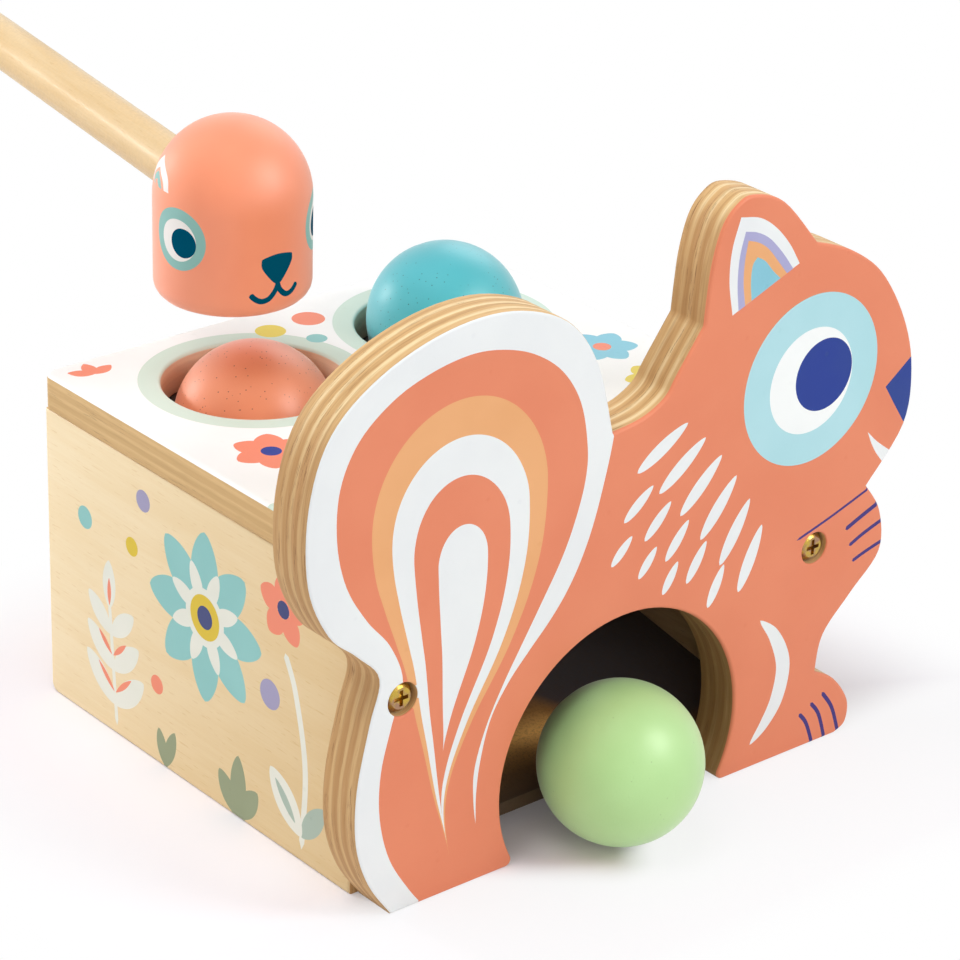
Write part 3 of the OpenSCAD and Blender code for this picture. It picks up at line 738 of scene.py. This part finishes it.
balls = {
    "rows": 91, "columns": 181, "smaller": 0.02, "seed": 11,
    "dents": 26, "dentSize": (0.03, 0.07), "dentDepth": 0.16, "dentShare": (0.3, 1.0),
    "finish": {"rough": 0.42, "pinholes": 640.0, "tooth": 0.12, "shine": 0.5, "Sheen_Weight": 0.3,
               "Sheen_Roughness": 0.5, "Coat_Weight": 0.15, "Coat_Roughness": 0.42},
    "coral": {"code": "#F3976E", "shade": "#EF8F66", "hole": "#8E452B", "rare": 0.15, "scratches": 0.8},
    "turquoise": {"code": "#4CB9C5", "shade": "#45B2BE", "hole": "#165560", "rare": 0.2, "scratches": 0.6},
    "green": {"code": "#B6E098", "shade": "#B0DB91", "hole": "#A2C889", "rare": 0.93, "scratches": 5.0},
}


def gridTris(rows, columns):
    # Two triangles for each cell of a grid of points
    n = np.arange(rows * columns).reshape(rows, columns)
    a, b, c, d = n[:-1, :-1], n[:-1, 1:], n[1:, 1:], n[1:, :-1]
    return np.concatenate([np.stack(cell, 2).reshape(-1, 3) for cell in ([a, b, c], [a, c, d])])


def turnedBall(name, node, material, seed):
    # A sphere on a grid of turns and heights; its dents follow a bell curve of the distance to their middle
    low, high = boxOf(node)
    middle, r = (low + high) / 2, (high - low).max() / 2 - balls["smaller"]
    rows, columns, dents = balls["rows"], balls["columns"], balls["dents"]
    down, turn = np.meshgrid(np.linspace(0, np.pi, rows), np.linspace(0, fullTurn, columns), indexing="ij")
    way = np.dstack([np.sin(down) * np.cos(turn), np.sin(down) * np.sin(turn), np.cos(down)]).reshape(-1, 3)
    random = np.random.default_rng(seed)
    spots = random.normal(size=(dents, 3))
    spots /= np.linalg.norm(spots, axis=1)[:, None]
    size = random.uniform(*balls["dentSize"], dents)
    bells = np.exp(-(2 - 2 * way @ spots.T) / size ** 2)
    sunk = balls["dentDepth"] * bells @ random.uniform(*balls["dentShare"], dents)
    points, tris, _ = closedTris(middle + way * (r - sunk)[:, None], gridTris(rows, columns)[:, ::-1])
    piece = makePiece(name, points, tris.tolist(), [material], body=node)
    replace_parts(piece, node)
    return piece


for number, tint in enumerate(("coral", "turquoise", "green")):
    paint = paintMaterial(tint + "BallPaint", **balls[tint], **balls["finish"])
    turnedBall(tint + "Ball", tint + "_ball", paint, balls["seed"] + number)
print("balls ready")


# Places on the hammer's head are degrees round it and heights along its surface
head = {
    "edge": 5.0, "yaw": 8.7, "seam": 30.0, "across": 96, "step": 1.5, "bendSteps": 40, "domeSteps": 160,
    "crease": 60, "socket": 15.1, "socketPast": 8.05, "socketSteps": 64, "pinholes": 300.0,
    "headCoral": {"code": "#F4926A", "shade": "#F08A62", "rough": 0.52, "hole": "#CF7350", "tooth": 0.05,
                  "shine": 0.9, "rare": 0.98, "Sheen_Weight": 0.35, "Sheen_Roughness": 0.5},
    "headTeal": {"code": "#8CBCB6", "shade": "#85B6B0", "rough": 0.42},
    "headPale": {"code": "#EDE9E6", "shade": "#E6E2DF", "rough": 0.42},
    "headDeepBlue": {"code": "#004C67", "shade": "#02506B", "rough": 0.45, "shine": 0.0},
    "eyes": [(-168.4, 23.0, 1.9), (-39.0, 23.6, -0.5)],
    "eyeRings": [("headTeal", 0, 0.0, 9.3), ("headPale", 0, -0.3, 6.3), ("headDeepBlue", 1, -0.8, 4.4)],
    "nose": [(-105.3, 17.8), (-103.5, 18.8), (-92.5, 19.6), (-81, 18.9), (-79.2, 17.9), (-80.4, 15.8),
             (-88.6, 11.4), (-92.5, 10.5), (-97.2, 11.6), (-104.5, 15.5)],
    "smile": [[(-92.5, 12.2), (-92.7, 10.2), (-95.2, 8.2), (-99.7, 6.4), (-105, 5.9), (-109.5, 6.6),
               (-113.9, 8.3)], [(-92.6, 10.5), (-90.4, 8.4), (-85.4, 6.7), (-79.5, 7.1), (-74.4, 9.0)]],
    "smileWidth": 1.65, "smileEnds": 0.08, "curveSteps": 6,
    "ears": [(-198.0, -12.0), (-9.4, 12.0)], "earBase": 35.4, "earFull": 0.85, "earLean": 0.3, "earRise": 10,
    "earRings": [("headPale", 18.4, 43.8), ("headCoral", 12.2, 40.4), ("headTeal", 8.8, 39.4),
                 ("headCoral", 3.6, 37.2)],
}
headPaint = {paint: paintMaterial(paint + "Paint", pinholes=head["pinholes"], **head[paint])
             for paint in ("headCoral", "headTeal", "headPale", "headDeepBlue")}
headLow, headHigh = boxOf("hammer_head")
headMid, headR, headTall = (headLow + headHigh) / 2, (headHigh[0] - headLow[0]) / 2, headHigh[2] - headLow[2]
handleLow, handleHigh = boxOf("hammer_handle")
handleRise = (handleLow[2] + handleHigh[2]) / 2 - headLow[2]
handleWay = math.radians(90 - head["yaw"])

# Profile of the head by its height along the surface: flat face, rounded edge, straight side, dome
flatR, straight = headR - head["edge"], headTall - headR
bendTurn = np.linspace(-np.pi / 2, 0, head["bendSteps"])
domeTurn = np.linspace(0, np.pi / 2, head["domeSteps"])
profileR = np.concatenate([[0], flatR + head["edge"] * np.cos(bendTurn), headR * np.cos(domeTurn)])
profileZ = np.concatenate([[0], head["edge"] * (1 + np.sin(bendTurn)), straight + headR * np.sin(domeTurn)])
profileS = np.concatenate([[0], np.cumsum(np.hypot(np.diff(profileR), np.diff(profileZ)))])
profileS += head["edge"] - profileS[head["bendSteps"]]  # the height over the face, on the side


def aroundHead(spots):
    # Width round the head and height along its surface, turned into points in space
    turn = spots[:, 0] / headR
    r, z = (np.interp(spots[:, 1], profileS, profile) for profile in (profileR, profileZ))
    return np.stack([headMid[0] + r * np.cos(turn), headMid[1] + r * np.sin(turn), headLow[2] + z], 1)


def headPath(spots):
    # Degrees round the head and heights, as widths round it and heights
    return [(math.radians(degrees) * headR, height) for degrees, height in spots]


def headEar(middle, lean, half, tip):
    # A leaning ear: from its base over its full side to the tip, and down the other side
    base, full, sway = head["earBase"], half * head["earFull"], lean * head["earLean"]
    high, peak = (base + tip) / 2, (middle + lean * (tip - base) / head["earRise"], tip)
    rise = [(middle - half, base), (middle - full + sway, high), peak]
    fall = [peak, (middle + full + sway, high), (middle + half, base)]
    return patch(head["curveSteps"], headPath(rise), headPath(fall))


headShapes = []
for eye, high, gaze in head["eyes"]:
    (x, y), = headPath([(eye, high)])
    headShapes += [(paint, disc(x + gaze * moved, y + rise, r)) for paint, moved, rise, r in head["eyeRings"]]
headShapes.append(("headDeepBlue", smoothPath(headPath(head["nose"]), head["curveSteps"], True)))
smile = penLines(head["smileEnds"], *((head["smileWidth"], headPath(side)) for side in head["smile"]))
headShapes += [("headDeepBlue", line) for line in smile]
for ear in head["ears"]:
    headShapes += [(paint, headEar(*ear, half, tip)) for paint, half, tip in head["earRings"]]


def sheetLine(turn, height):
    return np.column_stack(np.broadcast_arrays(turn, height))


# The unrolled head: its border, points inside it, and the rim where the handle's socket meets the surface
seam, nearby = math.radians(head["seam"]), 0.001
turns = np.linspace(seam - fullTurn, seam, head["across"] + 1) * headR
heights = np.linspace(profileS[0], profileS[-1], int(np.ptp(profileS) / head["step"]) + 1)
border = np.concatenate([sheetLine(turns, heights[0]), sheetLine(turns[-1], heights)[1:],
                         sheetLine(turns[::-1], heights[-1])[1:], sheetLine(turns[0], heights[::-1])[1:-1]])
inside = np.stack(np.meshgrid(turns[1:-1], heights[1:-1]), 2).reshape(-1, 2)
socketTurn = np.linspace(0, fullTurn, head["socketSteps"], endpoint=False)
socketZ = handleRise + head["socket"] / 2 * np.sin(socketTurn)
above = socketZ - straight  # over the straight side, on the dome
socketR = np.where(above > 0, np.sqrt(np.maximum(headR ** 2 - above ** 2, 1)), headR)
socketS = np.where(above > 0, straight + headR * np.arcsin(np.clip(above / headR, -1, 1)), socketZ)
socketA = (handleWay - fullTurn + np.arcsin(head["socket"] / 2 * np.cos(socketTurn) / socketR)) * headR
socket = np.stack([socketA, socketS], 1)
used = list(headPaint)
spots, tris, owner, _ = cutSheet([border, socket], [shape for _, shape in headShapes], [inside])
slots = np.array([used.index(paint) for paint in ("headCoral", *(paint for paint, _ in headShapes))])[owner]
spots[np.abs(spots[:, 0] - turns[0]) < nearby, 0] = turns[-1]  # the seam's two sides are one line
for pole in (heights[0], heights[-1]):
    spots[np.abs(spots[:, 1] - pole) < nearby, 1] = pole
points, tris, kept = closedTris(aroundHead(spots), tris)

# The handle's socket: a wall from the rim straight in along the handle, and its flat end
rim = rimWalk(openEdges(tris)[0])[0]
handleAxis = np.array([math.cos(handleWay), math.sin(handleWay), 0.0])
socketMid = np.array([headMid[0], headMid[1], headLow[2] + handleRise]) - handleAxis * head["socketPast"]
wall = points[rim] - ((points[rim] - socketMid) @ handleAxis)[:, None] * handleAxis
inner = len(points) + np.arange(len(rim))
a, b, c, d = rim, np.roll(rim, -1), np.roll(inner, -1), inner
end = np.full(len(rim), len(points) + len(rim))
hole = np.concatenate([np.stack(corners, 1) for corners in ([b, a, d], [b, d, c], [c, d, end])])
points, tris = np.concatenate([points, wall, [socketMid]]), np.concatenate([tris, hole])
slots = np.concatenate([slots[kept], np.full(len(hole), used.index("headCoral"))])
hammerHead = makePiece("hammerHead", points, tris.tolist(), list(headPaint.values()), slots, body="hammer",
                       crease=head["crease"])
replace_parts(hammerHead, "hammer_head")
print("hammer ready")


# The pieces below keep their CAD shape and get a material
# Painted shade: below a thin strip along its top the handle is tinted darker, so that its top reads as lit
handle = {"codes": ("#F7DDB4", "#F0D2A3", "#E2C08E"), "turn": math.radians(head["yaw"] - 90), "rough": 0.5,
          "bump": 0.12, "varnish": (0.08, 0.5), "Specular_IOR_Level": 0.2, "Coat_Roughness": 0.08,
          "drift": {"from": (0, 0, (handleHigh[2] + 2.5) * mm), "to": (0, 0, (handleHigh[2] - 1.5) * mm),
                    "tint": "#E3DDD0"}}
dowel = {"codes": ("#E3CB98", "#D6B77E", "#A9814A"), "rough": 0.6}
screw = {"slow": (420.0, 3), "fine": (2600.0, 2), "tint": (0.38, 0.64), "bump": (0.15, 0.0002),
         "Metallic": 1.0}
zinc = {**screw, "codes": ("#C8A94C", "#A9846A"), "gloss": (0.26, 0.44)}
steel = {**screw, "codes": ("#B9BCC0", "#A2A6AA"), "gloss": (0.28, 0.46)}
rubber = {"slow": (60.0, 2), "fine": (1200.0, 4), "tint": (0.0, 1.0, 0.0, 1.0, "LINEAR"),
          "bump": (0.2, 0.0003), "codes": ("#3A3330", "#4A423E"), "gloss": (0.62, 0.8)}


def cloudMaterial(name, slow, fine, tint, codes, gloss, bump, **plain):
    # Two colours in slow clouds, with a fine tooth that also varies the roughness
    material, _, place = newMaterial(name)
    clouds, tooth = noiseAt(place, *slow), noiseAt(place, *fine)
    base = mixed(spread(clouds, *tint), *map(colour, codes))
    return finishMaterial(material, base, (tooth, *noiseRange, *gloss), tooth, bump, **plain)


rampBoard = {
    "deep": 64, "shadeAside": (10, 34, 0.5), "fleck": (1300.0, 3, 0.7), "fleckShare": (0.45, 0.65, 0.0, 0.35),
    "fleckCode": "#4A331D", "gloss": (0.5, 0.4), "bump": (0.2, 0.0003),
    # Painted light and shade from the front edge inwards: shade at the edge, a golden pool of light, then
    # deep shade
    "tones": [(0.0, "#56402A"), (0.14, "#7E5A2E"), (0.33, "#DFA75C"), (0.45, "#8F6434"), (0.62, "#423B3C"),
              (1.0, "#3E3B3D")]}


def rampMaterial(deep, shadeAside, fleck, fleckShare, fleckCode, gloss, bump, tones):
    # Varnished plywood in painted light and shade: painted shade at its front edge, a painted golden pool of
    # light where light comes in, and painted shade further back and towards the right side
    material, tree, place = newMaterial("rampPlyPaintedLight")
    along = stretched(place, turn=(0, 0, quarterTurn))
    fibre = addNode(tree, "Group", {"Vector": along}, node_tree=grain).outputs
    inwards = spread(axisOf(place, 1), boxFront * mm, (boxFront + deep) * mm, kind="LINEAR")
    near, far, most = shadeAside
    sideways = spread(axisOf(place, 0), (boxMid + near) * mm, (boxMid + far) * mm, 0.0, most)
    base = ramp(sums("ADD", inwards, sideways), tones)
    base = mixed(spread(noiseAt(place, *fleck), *fleckShare), base, colour(fleckCode))
    return finishMaterial(material, base, (fibre["Tone"], *noiseRange, *gloss), fibre["Height"], bump)


cadLooks = {
    ("hammer_handle",): woodMaterial("handleBeech", **handle),
    ("ramp_board",): rampMaterial(**rampBoard),
    ("ring_retainer", "left_ramp_cleat", "right_ramp_cleat"): paintOf["inside"],
    ("front_screws",): cloudMaterial("yellowZinc", **zinc),
    ("retainer_screws",): cloudMaterial("plainSteel", **steel),
    ("grip_ring_left", "grip_ring_right", "grip_ring_front"): cloudMaterial("ringRubber", **rubber),
    ("front_dowels", "top_dowels", "back_pins"): woodMaterial("dowelBeech", **dowel),
}
for names, material in cadLooks.items():
    for node in names:
        nodes[node].material_slots[0].material = material
print("carried-over pieces ready")


# Zones of the floor and places of the lamps are in metres
stage = {"reach": 6.0, "bounce": "#F4F2F1", "pale": "#F0EDF4", "shade": "#F5E5EC", "rough": 0.9,
         "least": 0.06, "ahead": (-18, 10), "glowAhead": 0.8, "ambient": 0.38,
         "around": {"middle": (0.0, -0.055, 0.0), "half": (0.10, 0.09, 0.0), "turn": 0.0, "fade": 0.07},
         "arch": {"middle": (0.0712, -0.0974, 0.0), "half": (0.016, 0.027, 0.0), "turn": 40.2, "fade": 0.015}}
white = {"Color": (1.0, 1.0, 1.0, 1.0), "Strength": 1.0}


def seenRays(tree):
    # 1 for rays from the camera, straight, mirrored or through glass
    light = addNode(tree, "LightPath").outputs
    mirrored = sums("MAXIMUM", light["Is Glossy Ray"], light["Is Transmission Ray"])
    return sums("MAXIMUM", light["Is Camera Ray"], mirrored)


def outside(place, zone):
    # From 0 in a flat turned box to 1 at a distance from it
    turned = stretched(place, turn=(0, 0, math.radians(zone["turn"])))
    offset = vectors("ABSOLUTE", vectors("SUBTRACT", turned, zone["middle"]))
    beyond = vectors("MAXIMUM", vectors("SUBTRACT", offset, zone["half"]))
    return spread(vectors("LENGTH", beyond, out="Value"), 0.0, zone["fade"])


def floorMaterial():
    # Pale floor that keeps the shadow, most of all under the arch; for camera rays a white glow paints light
    # over most of the shadow in front of the box and a little of it everywhere, and far out the floor turns
    # into the white surround
    material, tree, place = newMaterial("paleFloor")
    shader, seen = shaderOf(tree), seenRays(tree)
    near, far = ((boxFront + step) * mm for step in stage["ahead"])
    # Painted light: in front of the box, outside the arch's zone, the white glow covers most of the shadow
    ahead = spread(axisOf(place, 1), near, far, stage["glowAhead"], 0.0)
    clear = outside(place, stage["arch"])
    fade = sums("MULTIPLY", clear, ahead)
    fade = sums("MAXIMUM", outside(place, stage["around"]), fade)
    # Painted light: a little white glow lies over the shadow everywhere
    fade = sums("MAXIMUM", fade, stage["least"])
    tint = mixed(clear, colour(stage["shade"]), colour(stage["pale"]))
    tree.links.new(mixed(seen, colour(stage["bounce"]), tint), shader.inputs["Base Color"])
    shader.inputs["Roughness"].default_value = stage["rough"]
    shader.inputs["Specular IOR Level"].default_value = 0.0
    glow = addNode(tree, "Emission", white).outputs[0]
    both = addNode(tree, "MixShader", {0: sums("MULTIPLY", seen, fade), 1: shader.outputs[0], 2: glow})
    tree.links.new(both.outputs[0], tree.nodes["Material Output"].inputs[0])
    return material


floorMesh = bpy.data.meshes.new("floor")
corners = [(x * stage["reach"], y * stage["reach"], 0) for x, y in ((-1, -1), (1, -1), (1, 1), (-1, 1))]
floorMesh.from_pydata(corners, [], [(0, 1, 2, 3)])
floorMesh.materials.append(floorMaterial())
floor = addObject("floor", floorMesh)

world = bpy.data.worlds.new("studio")
scene.world = world
world.use_nodes = True
worldTree = world.node_tree
ambient = worldTree.nodes["Background"]
ambient.inputs["Color"].default_value = white["Color"]
ambient.inputs["Strength"].default_value = stage["ambient"]
surround = addNode(worldTree, "Background", white).outputs[0]
either = addNode(worldTree, "MixShader", {0: seenRays(worldTree), 1: ambient.outputs[0], 2: surround})
worldTree.links.new(either.outputs[0], worldTree.nodes["World Output"].inputs[0])

lamps = {
    "over": {"way": (-0.30, 0.06, 0.95), "far": 1.5, "size": 1.1, "power": 12.5, "glossy": False},
    "key": {"way": (0.44, -0.70, 0.56), "far": 1.35, "size": 0.5, "power": 5.5},
    "side": {"way": (-0.38, 0.90, 0.23), "far": 1.4, "size": 0.3, "power": 3.7, "glossy": False},
    "rim": {"way": (-0.38, 0.90, 0.23), "far": 1.4, "size": 0.22, "power": 5.2},
    "front": {"way": (-0.30, -0.88, 0.30), "far": 1.7, "size": 1.4, "power": 4.4, "glossy": False},
    "sheen": {"way": (0.70, 0.46, 0.52), "far": 1.5, "size": 0.9, "power": 4.5, "diffuse": False},
    "spark": {"way": (0.33, -0.73, 0.58), "far": 1.35, "size": 0.7, "power": 6.0, "diffuse": False},
}
target = Vector((-0.01, -0.06, 0.08))
for name, look in lamps.items():
    lamp = bpy.data.lights.new(name, "AREA")
    lamp.shape, lamp.size, lamp.energy = "DISK", look["size"], look["power"]
    lampObject = addObject(name, lamp)
    way = Vector(look["way"]).normalized()
    lampObject.location = target + way * look["far"]
    lampObject.rotation_euler = way.to_track_quat("Z", "Y").to_euler()
    lampObject.visible_glossy = look.get("glossy", True)
    lampObject.visible_diffuse = look.get("diffuse", True)

# The camera's place is in millimetres from the foot of the box's front, in its middle; turns are in degrees
shot = {"place": (-627.68, -697.70, 550.53), "yaw": 40.201, "pitch": 25.472, "roll": -1.743, "lens": 140.2245,
        "sensor": 36.0, "clip": (0.05, 50.0)}
yaw, pitch, roll = (math.radians(shot[key]) for key in ("yaw", "pitch", "roll"))
forward = np.array([math.sin(yaw) * math.cos(pitch), math.cos(yaw) * math.cos(pitch), -math.sin(pitch)])
level = np.array([math.cos(yaw), -math.sin(yaw), 0.0])
below = np.cross(forward, level)
right = math.cos(roll) * level + math.sin(roll) * below
down = -math.sin(roll) * level + math.cos(roll) * below
camera = bpy.data.cameras.new("camera")
camera.lens, camera.sensor_width = shot["lens"], shot["sensor"]
camera.clip_start, camera.clip_end = shot["clip"]
cameraObject = addObject("camera", camera)
turned = Matrix(np.column_stack([right, -down, -forward]).tolist()).to_4x4()
cameraPlace = (np.array(shot["place"]) + [boxMid, boxFront, 0]) * mm
cameraObject.matrix_world = Matrix.Translation(cameraPlace.tolist()) @ turned
scene.camera = cameraObject
scene.view_settings.view_transform = "Standard"
print("stage ready")
